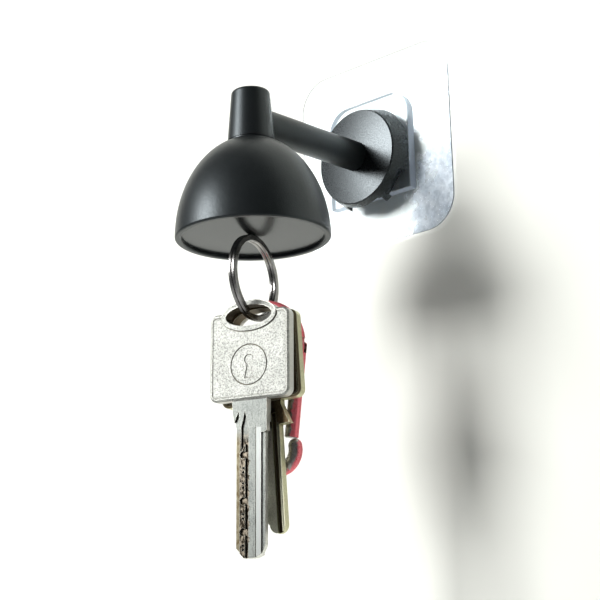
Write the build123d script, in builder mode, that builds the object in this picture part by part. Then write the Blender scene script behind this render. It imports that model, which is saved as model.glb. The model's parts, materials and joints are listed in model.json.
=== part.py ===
"""Magnetic key holder in the form of a small wall lamp, with its split ring, two keys and a snap clip.

Row frame, in millimetres: +X runs along the wall to the right, +Y runs into the wall and +Z is up.
The origin is the centre of the adhesive pad's face on the wall, so everything stands out towards -Y.
A "depth" is a distance out from the wall, and heights inside the lamp are counted from the arm's axis.
"""

import os
from math import asin, atan2, cos, degrees, hypot, pi, radians, sin, sqrt

from build123d import *

os.makedirs("parts", exist_ok=True)

# --- Adhesive pad and dock ------------------------------------------------------------------------
PAD_SIDE = 60.0
PAD_CORNER = 10.0
GEL_THICK = 0.6
GEL_INSET = 0.3
FILM_THICK = 0.4
DOCK_SIDE = 32.0
DOCK_CORNER = 7.5
DOCK_FOOT_CORNER = 1.5
DOCK_THICK = 3.0
DOCK_EDGE = 0.6

# Depths of the layers between the wall and the front of the lamp's base.
FILM_FRONT = GEL_THICK + FILM_THICK
DOCK_FRONT = FILM_FRONT + DOCK_THICK
SLIDE_GAP = 0.2
BASE_REAR = DOCK_FRONT + SLIDE_GAP
PLATE_REAR = BASE_REAR + 0.2
PLATE_THICK = 1.3
PLATE_FRONT = PLATE_REAR + PLATE_THICK
HEAD_REAR = PLATE_FRONT + SLIDE_GAP
HEAD_FRONT = HEAD_REAR + 1.0
BASE_FRONT = 9.8
CAVITY_FRONT = 7.9

# The T rail stands on the dock and the lamp slides down over it. Heights are from the arm's axis.
ARM_Z = -3.8
STEM_WIDTH = 8.0
HEAD_WIDTH = 13.0
RAIL_LOW = -9.0
STEM_TOP = 3.0
HEAD_TOP = 2.5
RAIL_PLAY = 0.25
STOP_GAP = 0.05

# --- Base ------------------------------------------------------------------------------------------
BASE_REAR_R = 16.3
BASE_FRONT_R = 14.85
BASE_EDGE = 0.35
BASE_CROWN_R = 170.0
PLATE_R = 13.9
PLATE_SEAT_R = 14.0
CAVITY_R = 12.6
ENTRY_WIDTH = 13.8
ENTRY_FRONT = 7.4
WINDOW_ANGLES = (-41.0, -139.0)
WINDOW_WIDTH = 8.6
WINDOW_DEPTH = 2.4
WINDOW_FLOOR_R = 14.4
SPIGOT_R = 2.95
SPIGOT_LENGTH = 4.0

# Three short screws hold the rail plate, one holds the arm and one holds the shade.
PLATE_SCREW_SPOTS = ((-10.2, 0.0), (10.2, 0.0), (0.0, 11.6))
PLATE_BOSS_R = 1.8
SMALL_SCREW = {"head_r": 1.5, "head_length": 0.8, "shank_r": 0.8, "length": 3.0}
ARM_SCREW = {"head_r": 2.4, "head_length": 1.2, "shank_r": 1.2, "length": 14.0}
CROWN_SCREW = {"head_r": 2.8, "head_length": 1.6, "shank_r": 1.25, "length": 10.0}
SCREW_PLAY = 0.15
CROSS_DEPTH = 0.45

# --- Arm, neck and shade ---------------------------------------------------------------------------
SHADE_DEPTH = 54.5
ARM_R = 4.5
NECK_TOP = 8.8
NECK_LOW = -6.5
NECK_TOP_R = 5.5
NECK_LOW_R = 6.8
NECK_ROUND = 1.1
TENON_R = 3.2
TENON_REACH = 2.6
ARM_INTO_NECK = 3.0

MOUTH = -35.5
DOME_R = 22.0
DOME_HEIGHT = 30.0
CROWN = -6.9
COLLAR_R = 6.6
INNER_R = 19.2
INNER_HEIGHT = 27.0
CROWN_BOSS_R = 4.2
CROWN_BOSS = 0.9
SEAT_R = 20.05
RECESS = 1.0
RIM_OUTER_ROUND = 0.6
RIM_INNER_ROUND = 0.5

MOUTH_PLATE_R = 19.95
MOUTH_PLATE_THICK = 1.5
PLATE_FACE = MOUTH + RECESS
MAGNET_FLOOR = 0.8
MAGNET_R = 8.9
MAGNET_THICK = 3.0
CUP_BORE_R = 9.0
CUP_R = 10.0
CUP_ROOF = 1.2
POCKET_BORE_R = 10.1
POCKET_R = 11.3
POCKET_HEIGHT = 2.6

# --- Split ring ------------------------------------------------------------------------------------
RING_AZIMUTH = 15.0
RING_R = 11.4
WIRE_RADIAL = 1.9
WIRE_AXIAL = 1.05
WIRE_ROUND = 0.35
COIL_GAP = 0.06
JOG_ANGLE = 46.0
JOG_START = -113.0
JOG_STEPS = 8
MAGNET_GAP = 0.1

# --- Keys ------------------------------------------------------------------------------------------
BOW_WIDTH = 25.0
BOW_HEIGHT = 24.6
BOW_CORNER = 2.2
BOW_THICK = 3.4
BOW_BEVEL = 0.55
FIELD_INSET = 1.0
FIELD_DEPTH = 0.15
EYE_HALF_WIDTH = 7.25
EYE_HALF_HEIGHT = 2.95
EYE_Z = 11.05
EYE_RIM = 1.35
EYE_RIM_RAISE = 0.2
EYE_LIFT = 2.1
EMBLEM_R = 5.8
EMBLEM_Z = -2.7
EMBLEM_LINE = 0.35
EMBLEM_DEPTH = 0.2

# Depth of each piece along the ring's tangent, from the ring's lowest point towards the room.
KEY_A_BACK = 1.5
KEY_A_TILT = -1.3
KEY_A_SHIFT = 0.95
KEY_B_BACK = -2.6
KEY_B_TILT = 2.5
KEY_B_SHIFT = 0.8
CLIP_CENTRE = -4.9

# Dimple key: its blade is milled in two tracks beside a row of paired dimples.
BLADE_A_THICK = 2.4
BLADE_A_LEFT = -4.3
BLADE_A_RIGHT = 4.8
TIP_A = -55.1
TRACK_DEPTH = 0.55
RUN_OUT = -15.3
STRIP_POINT = -3.3
STRIP_RIGHT = -2.95
WAVE_POINT = -1.35
WAVE_LEFT = -2.5
LAND_RIGHT = -1.2
WAVE_RIGHT = -0.2
LAND_TOP = -24.5
LAND_HEIGHT = 0.4
MILL_START = -27.4
MILL_PITCH = 4.15
MILL_COUNT = 6
CROSS_CUTS = (0, 3, 5)
DIMPLE_PAIRS = (1, 2, 4, 6)
SCALLOP_R = 0.75
CROSS_R = 1.05
DIMPLE_R = 0.36
DIMPLE_GAP = 1.15
RIB_LEFT = 2.15
RIB_RIGHT = 3.7
RIB_TOP = -20.0
STEP_A = -21.6
RIB_BEVEL = 0.4
LINE_CUT = 0.2

# Toothed key: a deep groove down each face and cuts along its left edge.
BLADE_B_THICK = 2.2
BLADE_B_LEFT = -2.6
BLADE_B_RIGHT = 5.05
TIP_B = -48.4
TIP_B_LEFT = 0.3
SHOULDER_B = -18.6
GROOVE_B_LEFT = 2.7
GROOVE_B_RIGHT = 4.1
GROOVE_B_DEPTH = 0.9
FINE_GROOVE_B = 4.5
BACK_GROOVE_B_LEFT = -0.6
CUT_DEPTHS = (1.2, 2.4, 1.8, 2.8, 1.5)
CUT_START = -23.5
CUT_PITCH = 4.1
CUT_FLAT = 0.6

# --- Snap clip -------------------------------------------------------------------------------------
ARCH_ROD_R = 1.6
HOOK_ROD_R = 1.95
CLIP_LIFT = 0.25
CLIP_TOP_CENTRE = (-0.15, -8.6)
CLIP_TOP_R = 11.5
CLIP_LOW_CENTRE = (4.1, -38.4)
CLIP_LOW_R = 5.15
ARCH_END_ANGLE = 4.0
NOSE_ANGLE = 11.0
PIVOT = (11.3, -10.4)
TONGUE_THICK = 1.3
TONGUE_R = 1.2
SLOT_THICK = 1.5
SLOT_DEPTH = 1.45
PIN_R = 0.6
PIN_GAP = 0.03
GATE_R = 1.95
GATE_LENGTH = 25.0
GATE_LEAN = 7.5
GATE_BORE_R = 1.0
GATE_BORE_END = 10.5
GATE_END_ROUND = 0.4
PLUNGER_R = 0.95
PLUNGER_TOP = -1.35
PLUNGER_END = -3.4
SPRING_R = 0.75
SPRING_WIRE_R = 0.16
SPRING_PITCH = 0.95

# --- Planes and axes -------------------------------------------------------------------------------
OUT = (0, -1, 0)
ARM_SECTION = Plane(origin=(0, 0, ARM_Z), x_dir=OUT, z_dir=(-1, 0, 0))
ARM_AXIS = Axis((0, 0, ARM_Z), OUT)
SHADE_SECTION = Plane(origin=(0, -SHADE_DEPTH, ARM_Z), x_dir=(1, 0, 0), z_dir=OUT)
SHADE_AXIS = Axis((0, -SHADE_DEPTH, ARM_Z), (0, 0, 1))

# The ring hangs in a vertical plane. Its axis is RING_DIR, and FACE_DIR is the way the keys face.
RING_DIR = Vector(cos(radians(RING_AZIMUTH)), sin(radians(RING_AZIMUTH)), 0)
FACE_DIR = Vector(sin(radians(RING_AZIMUTH)), -cos(radians(RING_AZIMUTH)), 0)
RING_TOP_Z = ARM_Z + PLATE_FACE - MAGNET_GAP
RING_CENTRE = Vector(0, -SHADE_DEPTH, RING_TOP_Z - WIRE_RADIAL / 2 - RING_R)
RING_LOW = RING_CENTRE - Vector(0, 0, RING_R)


def out_plane(depth):
    """A plane that faces the room at a depth from the wall, with its origin on the arm's axis."""
    return Plane(origin=(0, -depth, ARM_Z), x_dir=(1, 0, 0), z_dir=OUT)


def crown_depth(radius):
    """The depth of the base's slightly domed front at a distance from the arm's axis."""
    rim = BASE_FRONT_R - BASE_EDGE
    return BASE_FRONT + sqrt(BASE_CROWN_R**2 - radius**2) - sqrt(BASE_CROWN_R**2 - rim**2)


def shade_plane(height):
    """A level plane at a height above the arm's axis, with its origin on the shade's axis."""
    return Plane(origin=(0, -SHADE_DEPTH, ARM_Z + height))


def turned(plane, angle):
    """The same plane with its x and y directions turned by an angle, counter-clockwise."""
    x_dir = plane.x_dir * cos(radians(angle)) + plane.y_dir * sin(radians(angle))
    return Plane(origin=plane.origin, x_dir=x_dir, z_dir=plane.z_dir)


def hanging_plane(depth, shift=0.0, tilt=0.0):
    """A plane that faces as the keys do, with its origin on the ring's wire at that depth."""
    rise = RING_R - sqrt(RING_R**2 - depth**2)
    origin = RING_LOW + FACE_DIR * depth + RING_DIR * shift + Vector(0, 0, rise)
    return turned(Plane(origin=origin, x_dir=RING_DIR, z_dir=FACE_DIR), tilt)


def bow_plane(back, thick, shift, tilt):
    """The mid plane of a key whose back face is at that depth, with its origin at the bow's centre."""
    hang = hanging_plane(back + thick / 2, shift, tilt)
    drop = EYE_LIFT - EYE_Z - EYE_HALF_HEIGHT
    return Plane(origin=hang.origin + hang.y_dir * drop, x_dir=hang.x_dir, z_dir=hang.z_dir)


def save(builder, name):
    """Labels a finished piece and writes it to its own file."""
    builder.part.label = name
    export_step(builder.part, f"parts/{name}.step")


def box_between(left, right, low, high):
    """A rectangle between two widths and two heights of the sketch."""
    with Locations(((left + right) / 2, (low + high) / 2)):
        Rectangle(right - left, high - low)


def tombstone(width, low, top):
    """A strip with a flat lower end and a round upper end, whose arc is centred at the given top."""
    box_between(-width / 2, width / 2, low, top)
    with Locations((0, top)):
        Circle(width / 2)


def screw_part(section, size, countersunk):
    """A screw along the section's x direction, with its head's outer face at the section's origin."""
    rim = size["shank_r"] if countersunk else size["head_r"]
    with BuildPart() as screw:
        with BuildSketch(section):
            with BuildLine():
                Polyline((0, 0), (0, size["head_r"]), (size["head_length"], rim))
                if not countersunk:
                    Line((size["head_length"], rim), (size["head_length"], size["shank_r"]))
                Polyline(
                    (size["head_length"], size["shank_r"]),
                    (size["length"] - size["shank_r"], size["shank_r"]),
                    (size["length"], size["shank_r"] / 3),
                    (size["length"], 0),
                    (0, 0),
                )
            make_face()
        revolve(axis=Axis(section.origin, section.x_dir))
        with BuildSketch(Plane(origin=section.origin, z_dir=section.x_dir)):
            Rectangle(size["head_r"] * 1.2, size["head_r"] * 0.28)
            Rectangle(size["head_r"] * 0.28, size["head_r"] * 1.2)
        extrude(amount=CROSS_DEPTH, mode=Mode.SUBTRACT)
    return screw.part


# --- Wall side -------------------------------------------------------------------------------------
def make_pad():
    """The sticky gel square and the clear film that carries it."""
    wall = Plane(origin=(0, 0, 0), x_dir=(1, 0, 0), z_dir=OUT)
    with BuildPart() as gel:
        with BuildSketch(wall):
            RectangleRounded(PAD_SIDE - 2 * GEL_INSET, PAD_SIDE - 2 * GEL_INSET, PAD_CORNER - GEL_INSET)
        extrude(amount=GEL_THICK)
    save(gel, "adhesive_gel")
    with BuildPart() as film:
        with BuildSketch(wall.offset(GEL_THICK)):
            RectangleRounded(PAD_SIDE, PAD_SIDE, PAD_CORNER)
        extrude(amount=FILM_THICK)
    save(film, "adhesive_film")


def make_dock():
    """The clear block on the film, with the T rail that the lamp slides down over."""
    with BuildPart() as dock:
        with BuildSketch(Plane(origin=(0, -FILM_FRONT, 0), x_dir=(1, 0, 0), z_dir=OUT)):
            outline = Rectangle(DOCK_SIDE, DOCK_SIDE)
            fillet(outline.vertices().group_by(Axis.Y)[-1], DOCK_CORNER)
            fillet(outline.vertices().group_by(Axis.Y)[0], DOCK_FOOT_CORNER)
        extrude(amount=DOCK_THICK)
        fillet(dock.faces().sort_by(Axis.Y)[0].edges(), DOCK_EDGE)
        with BuildSketch(out_plane(DOCK_FRONT)):
            tombstone(STEM_WIDTH, RAIL_LOW, STEM_TOP)
        extrude(amount=HEAD_REAR - DOCK_FRONT)
        with BuildSketch(out_plane(HEAD_REAR)):
            tombstone(HEAD_WIDTH, RAIL_LOW, HEAD_TOP)
        extrude(amount=HEAD_FRONT - HEAD_REAR)
    save(dock, "clear_dock")


# --- Lamp base -------------------------------------------------------------------------------------
def make_base_shell():
    """The round moulded cover, hollow behind, with bosses for the rail plate's screws."""
    seat = crown_depth(ARM_R)
    rim = BASE_FRONT_R - BASE_EDGE
    with BuildPart() as shell:
        with BuildSketch(ARM_SECTION):
            with BuildLine():
                Polyline(
                    (BASE_REAR, PLATE_SEAT_R),
                    (BASE_REAR, BASE_REAR_R),
                    (BASE_FRONT - BASE_EDGE, BASE_FRONT_R),
                    (BASE_FRONT, rim),
                )
                ThreePointArc((BASE_FRONT, rim), (crown_depth(rim / 2), rim / 2), (seat, ARM_R))
                Polyline(
                    (seat, ARM_R),
                    (seat, SPIGOT_R),
                    (seat + SPIGOT_LENGTH, SPIGOT_R),
                    (seat + SPIGOT_LENGTH, 0),
                    (CAVITY_FRONT, 0),
                    (CAVITY_FRONT, CAVITY_R),
                    (PLATE_FRONT, CAVITY_R),
                    (PLATE_FRONT, PLATE_SEAT_R),
                    (BASE_REAR, PLATE_SEAT_R),
                )
            make_face()
        revolve(axis=ARM_AXIS)
        with BuildSketch(out_plane(PLATE_FRONT)):
            with Locations(PLATE_SCREW_SPOTS):
                Circle(PLATE_BOSS_R)
        extrude(amount=CAVITY_FRONT - PLATE_FRONT)
        with BuildSketch(out_plane(BASE_REAR)):
            box_between(-ENTRY_WIDTH / 2, ENTRY_WIDTH / 2, -BASE_REAR_R, -CAVITY_R / 2)
        extrude(amount=ENTRY_FRONT - BASE_REAR, mode=Mode.SUBTRACT)
        with BuildSketch(out_plane(BASE_REAR)):
            for angle in WINDOW_ANGLES:
                reach = WINDOW_FLOOR_R + BASE_REAR_R / 2
                with Locations(Location((reach * cos(radians(angle)), reach * sin(radians(angle))), angle)):
                    Rectangle(BASE_REAR_R, WINDOW_WIDTH)
        extrude(amount=WINDOW_DEPTH, mode=Mode.SUBTRACT)
        with BuildSketch(out_plane(PLATE_FRONT)):
            with Locations(PLATE_SCREW_SPOTS):
                Circle(SMALL_SCREW["shank_r"])
        extrude(amount=SMALL_SCREW["length"] - PLATE_THICK, mode=Mode.SUBTRACT)
        with BuildSketch(out_plane(CAVITY_FRONT)):
            Circle(ARM_SCREW["shank_r"] + SCREW_PLAY)
        extrude(amount=seat + SPIGOT_LENGTH - CAVITY_FRONT, mode=Mode.SUBTRACT)
        with BuildSketch(out_plane(CAVITY_FRONT)):
            Circle(ARM_SCREW["head_r"])
        with BuildSketch(out_plane(CAVITY_FRONT + ARM_SCREW["head_length"])):
            Circle(ARM_SCREW["shank_r"])
        loft(mode=Mode.SUBTRACT)
    save(shell, "base_shell")


def make_rail_plate():
    """The flat plate behind the cover, whose slot is open below and stops on the rail's stem."""
    with BuildPart() as plate:
        with BuildSketch(out_plane(PLATE_REAR)):
            Circle(PLATE_R)
        extrude(amount=PLATE_THICK)
        with BuildSketch(out_plane(PLATE_REAR)):
            tombstone(STEM_WIDTH + 2 * RAIL_PLAY, -PLATE_R - 1, STEM_TOP + STOP_GAP - RAIL_PLAY)
        extrude(amount=PLATE_THICK, mode=Mode.SUBTRACT)
        with BuildSketch(out_plane(PLATE_REAR)):
            with Locations(PLATE_SCREW_SPOTS):
                Circle(SMALL_SCREW["head_r"] + SCREW_PLAY)
        extrude(amount=SMALL_SCREW["head_length"], mode=Mode.SUBTRACT)
        with BuildSketch(out_plane(PLATE_REAR)):
            with Locations(PLATE_SCREW_SPOTS):
                Circle(SMALL_SCREW["shank_r"] + SCREW_PLAY)
        extrude(amount=PLATE_THICK, mode=Mode.SUBTRACT)
    save(plate, "rail_plate")


def make_screws():
    """The rail plate's three screws, the arm's screw and the crown's screw."""
    with BuildPart() as plate_screws:
        for across, up in PLATE_SCREW_SPOTS:
            spot = Plane(origin=(across, -PLATE_REAR, ARM_Z + up), x_dir=OUT, z_dir=(-1, 0, 0))
            add(screw_part(spot, SMALL_SCREW, countersunk=False))
    save(plate_screws, "rail_plate_screws")
    with BuildPart() as arm_screw:
        spot = Plane(origin=(0, -CAVITY_FRONT, ARM_Z), x_dir=OUT, z_dir=(-1, 0, 0))
        add(screw_part(spot, ARM_SCREW, countersunk=True))
    save(arm_screw, "arm_screw")
    low = MOUTH + INNER_HEIGHT - CROWN_BOSS - CROWN_SCREW["head_length"]
    with BuildPart() as crown_screw:
        spot = Plane(origin=(0, -SHADE_DEPTH, ARM_Z + low), x_dir=(0, 0, 1), z_dir=OUT)
        add(screw_part(spot, CROWN_SCREW, countersunk=False))
    save(crown_screw, "crown_screw")


# --- Arm and neck ----------------------------------------------------------------------------------
def neck_outline(low):
    """Half of the neck's outline, from a lower end with or without the collar, round to its top."""
    Polyline((NECK_LOW_R, NECK_LOW), (NECK_TOP_R, NECK_TOP), (0, NECK_TOP), (0, low))


def make_arm():
    """The round arm: a socket on the base's spigot, and a tenon into the neck."""
    seat = crown_depth(ARM_R)
    with BuildPart() as arm:
        with BuildSketch(out_plane(seat)):
            Circle(ARM_R)
        extrude(amount=SHADE_DEPTH - ARM_INTO_NECK - seat)
        with BuildSketch(SHADE_SECTION):
            with BuildLine():
                neck_outline(NECK_LOW)
                Line((0, NECK_LOW), (NECK_LOW_R, NECK_LOW))
            make_face()
        revolve(axis=SHADE_AXIS, mode=Mode.SUBTRACT)
        with BuildSketch(out_plane(SHADE_DEPTH - NECK_LOW_R)):
            Circle(TENON_R)
        extrude(amount=NECK_LOW_R + TENON_REACH)
        with BuildSketch(out_plane(seat)):
            Circle(SPIGOT_R)
        extrude(amount=SPIGOT_LENGTH, mode=Mode.SUBTRACT)
        with BuildSketch(out_plane(seat)):
            Circle(ARM_SCREW["shank_r"])
        extrude(amount=ARM_SCREW["length"], mode=Mode.SUBTRACT)
        with BuildSketch(shade_plane(-TENON_R)):
            Circle(CROWN_SCREW["shank_r"])
        extrude(amount=TENON_R, mode=Mode.SUBTRACT)
    save(arm, "arm_tube")


def make_neck():
    """The tapered socket on top of the shade, bored for the arm's tenon and the crown's screw."""
    with BuildPart() as neck:
        with BuildSketch(SHADE_SECTION):
            with BuildLine():
                neck_outline(CROWN)
                Polyline((0, CROWN), (COLLAR_R, CROWN), (COLLAR_R, NECK_LOW), (NECK_LOW_R, NECK_LOW))
            make_face()
        revolve(axis=SHADE_AXIS)
        fillet(neck.faces().sort_by(Axis.Z)[-1].edges(), NECK_ROUND)
        with BuildSketch(out_plane(SHADE_DEPTH + TENON_REACH)):
            Circle(TENON_R)
        extrude(amount=-TENON_REACH - NECK_LOW_R, mode=Mode.SUBTRACT)
        with BuildSketch(shade_plane(CROWN)):
            Circle(CROWN_SCREW["shank_r"] + SCREW_PLAY)
        extrude(amount=-CROWN, mode=Mode.SUBTRACT)
    save(neck, "neck_socket")


# --- Shade -----------------------------------------------------------------------------------------
def make_shade():
    """The dome: a half ellipse outside and inside, flat at the crown, with a seat for the plate."""
    with BuildPart() as shade:
        with BuildSketch(SHADE_SECTION):
            with Locations((0, MOUTH)):
                Ellipse(DOME_R, DOME_HEIGHT)
                Ellipse(INNER_R, INNER_HEIGHT, mode=Mode.SUBTRACT)
            with Locations((DOME_R / 2, (MOUTH + CROWN) / 2)):
                Rectangle(DOME_R, CROWN - MOUTH, mode=Mode.INTERSECT)
        revolve(axis=SHADE_AXIS)
        with BuildSketch(shade_plane(MOUTH)):
            Circle(SEAT_R)
        extrude(amount=RECESS + MOUTH_PLATE_THICK, mode=Mode.SUBTRACT)
        rim = shade.edges().filter_by(GeomType.CIRCLE).group_by(Axis.Z)[0].sort_by(SortBy.RADIUS)
        fillet(rim[-1], RIM_OUTER_ROUND)
        rim = shade.edges().filter_by(GeomType.CIRCLE).group_by(Axis.Z)[0].sort_by(SortBy.RADIUS)
        fillet(rim[0], RIM_INNER_ROUND)
        with BuildSketch(shade_plane(MOUTH + INNER_HEIGHT - CROWN_BOSS)):
            Circle(CROWN_BOSS_R)
        extrude(amount=CROWN_BOSS + 0.5)
        with BuildSketch(shade_plane(CROWN)):
            Circle(CROWN_SCREW["shank_r"] + SCREW_PLAY)
        extrude(amount=MOUTH - CROWN, mode=Mode.SUBTRACT)
    save(shade, "shade_shell")


def make_mouth():
    """The plate that closes the shade, and the magnet and its steel cup in the plate's pocket."""
    floor = PLATE_FACE + MAGNET_FLOOR
    with BuildPart() as plate:
        with BuildSketch(shade_plane(PLATE_FACE)):
            Circle(MOUTH_PLATE_R)
        extrude(amount=MOUTH_PLATE_THICK)
        with BuildSketch(shade_plane(PLATE_FACE)):
            Circle(POCKET_R)
        extrude(amount=MOUTH_PLATE_THICK + POCKET_HEIGHT)
        with BuildSketch(shade_plane(floor)):
            Circle(POCKET_BORE_R)
        extrude(amount=MOUTH_PLATE_THICK + POCKET_HEIGHT, mode=Mode.SUBTRACT)
    save(plate, "mouth_plate")
    with BuildPart() as magnet:
        with BuildSketch(shade_plane(floor)):
            Circle(MAGNET_R)
        extrude(amount=MAGNET_THICK)
    save(magnet, "disc_magnet")
    with BuildPart() as cup:
        with BuildSketch(shade_plane(floor)):
            Circle(CUP_R)
        extrude(amount=MAGNET_THICK + CUP_ROOF)
        with BuildSketch(shade_plane(floor)):
            Circle(CUP_BORE_R)
        extrude(amount=MAGNET_THICK, mode=Mode.SUBTRACT)
    save(cup, "magnet_cup")


# --- Split ring ------------------------------------------------------------------------------------
def wire_plane(angle, offset):
    """The plane across the ring's wire at an angle up from the facing direction."""
    radial = FACE_DIR * cos(radians(angle)) + Vector(0, 0, 1) * sin(radians(angle))
    along = FACE_DIR * -sin(radians(angle)) + Vector(0, 0, 1) * cos(radians(angle))
    return Plane(origin=RING_CENTRE + radial * RING_R + RING_DIR * offset, x_dir=radial, z_dir=along)


def make_ring():
    """Two flat coils side by side, joined by one stretch where the wire steps across."""
    half_pitch = (WIRE_AXIAL + COIL_GAP) / 2
    with BuildPart() as ring:
        for offset in (half_pitch, -half_pitch):
            with BuildSketch(wire_plane(JOG_START + JOG_ANGLE, offset)):
                RectangleRounded(WIRE_RADIAL, WIRE_AXIAL, WIRE_ROUND)
            revolve(axis=Axis(RING_CENTRE, -RING_DIR), revolution_arc=360 - JOG_ANGLE)
        for step in range(JOG_STEPS + 1):
            share = step / JOG_STEPS
            with BuildSketch(wire_plane(JOG_START + JOG_ANGLE * share, half_pitch * cos(pi * share))):
                RectangleRounded(WIRE_RADIAL, WIRE_AXIAL, WIRE_ROUND)
        loft()
    save(ring, "split_ring")


# --- Keys ------------------------------------------------------------------------------------------
def bow_part(middle):
    """A key's bow: a bevelled plate with sunk fields, and an oval eye with a raised rim."""
    with BuildPart() as bow:
        with BuildSketch(middle):
            RectangleRounded(BOW_WIDTH, BOW_HEIGHT, BOW_CORNER)
        extrude(amount=BOW_THICK / 2, both=True)
        chamfer(bow.faces().sort_by(Axis(middle.origin, middle.z_dir))[-1].edges(), BOW_BEVEL)
        chamfer(bow.faces().sort_by(Axis(middle.origin, middle.z_dir))[0].edges(), BOW_BEVEL)
        with BuildSketch(middle.offset(BOW_THICK / 2), middle.offset(-BOW_THICK / 2)):
            RectangleRounded(BOW_WIDTH - 2 * FIELD_INSET, BOW_HEIGHT - 2 * FIELD_INSET, BOW_CORNER / 2)
        extrude(amount=FIELD_DEPTH, both=True, mode=Mode.SUBTRACT)
        with BuildSketch(middle):
            with Locations((0, EYE_Z)):
                Ellipse(EYE_HALF_WIDTH + EYE_RIM, EYE_HALF_HEIGHT + EYE_RIM)
        extrude(amount=BOW_THICK / 2 + EYE_RIM_RAISE, both=True)
        with BuildSketch(middle):
            with Locations((0, EYE_Z)):
                Ellipse(EYE_HALF_WIDTH, EYE_HALF_HEIGHT)
        extrude(amount=BOW_THICK, both=True, mode=Mode.SUBTRACT)
    return bow.part


def emblem_sketch():
    """A plain keyhole in a ring, drawn into the sketch that is open."""
    with Locations((0, EMBLEM_Z)):
        Circle(EMBLEM_R)
        Circle(EMBLEM_R - EMBLEM_LINE, mode=Mode.SUBTRACT)
    with Locations((0, EMBLEM_Z + EMBLEM_R / 4)):
        Circle(EMBLEM_R / 4)
    with Locations((0, EMBLEM_Z - EMBLEM_R / 4)):
        Trapezoid(EMBLEM_R / 2, EMBLEM_R * 0.8, 78)


def make_key_a():
    """The plated dimple key, with the same milling on both faces so that it works either way round."""
    middle = bow_plane(KEY_A_BACK, BOW_THICK, KEY_A_SHIFT, KEY_A_TILT)
    across = middle.from_local_coords((BLADE_A_LEFT + BLADE_A_RIGHT, 0, 0))
    reverse = Plane(origin=across, x_dir=-middle.x_dir, z_dir=-middle.z_dir)
    land_middle = (WAVE_LEFT + LAND_RIGHT) / 2
    with BuildPart() as key:
        add(bow_part(middle))
        with BuildSketch(middle):
            with BuildLine():
                Polyline(
                    (-5.4, -BOW_HEIGHT / 2 + 1),
                    (-5.25, -15.8),
                    (BLADE_A_LEFT, -20.0),
                    (BLADE_A_LEFT, TIP_A + 2.8),
                    (-1.6, TIP_A),
                    (1.6, TIP_A),
                    (3.6, TIP_A + 0.8),
                    (BLADE_A_RIGHT, TIP_A + 3.2),
                    (BLADE_A_RIGHT, STEP_A),
                    (5.4, STEP_A + 0.4),
                    (5.4, -BOW_HEIGHT / 2 + 1),
                    close=True,
                )
            make_face()
        extrude(amount=BLADE_A_THICK / 2, both=True)
        for side in (middle, reverse):
            with BuildSketch(side.offset(BLADE_A_THICK / 2)):
                with BuildLine():
                    Polyline(
                        (STRIP_POINT, RUN_OUT),
                        (STRIP_RIGHT, RUN_OUT - 5),
                        (STRIP_RIGHT, TIP_A - 1),
                        (BLADE_A_LEFT - 2, TIP_A - 1),
                        (BLADE_A_LEFT - 2, RUN_OUT - 6.5),
                        close=True,
                    )
                make_face()
                with BuildLine():
                    Polyline(
                        (WAVE_POINT, RUN_OUT),
                        (WAVE_RIGHT, RUN_OUT - 5),
                        (WAVE_RIGHT, TIP_A - 1),
                        (LAND_RIGHT, TIP_A - 1),
                        (LAND_RIGHT, LAND_TOP),
                        (WAVE_LEFT, LAND_TOP - 2),
                        (WAVE_LEFT, RUN_OUT - 4.5),
                        close=True,
                    )
                make_face()
                for index in range(MILL_COUNT):
                    with Locations((WAVE_RIGHT, MILL_START - MILL_PITCH * (index + 0.5))):
                        Circle(SCALLOP_R)
                for index in CROSS_CUTS:
                    with Locations((land_middle, MILL_START - MILL_PITCH * index)):
                        Circle(CROSS_R)
                for index in DIMPLE_PAIRS:
                    with Locations((land_middle, MILL_START - MILL_PITCH * index)):
                        with GridLocations(1, DIMPLE_GAP, 1, 2):
                            Circle(DIMPLE_R)
            extrude(amount=-TRACK_DEPTH, mode=Mode.SUBTRACT)
            with BuildSketch(side.offset(BLADE_A_THICK / 2)):
                box_between(RIB_LEFT - LINE_CUT, RIB_LEFT, TIP_A - 1, RIB_TOP)
                box_between(RIB_RIGHT, BLADE_A_RIGHT + 1, TIP_A - 1, STEP_A)
            extrude(amount=-RIB_BEVEL, mode=Mode.SUBTRACT)
        with BuildSketch(middle.offset(BOW_THICK / 2 - FIELD_DEPTH)):
            emblem_sketch()
        extrude(amount=-EMBLEM_DEPTH, mode=Mode.SUBTRACT)
    save(key, "plated_key")


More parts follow.
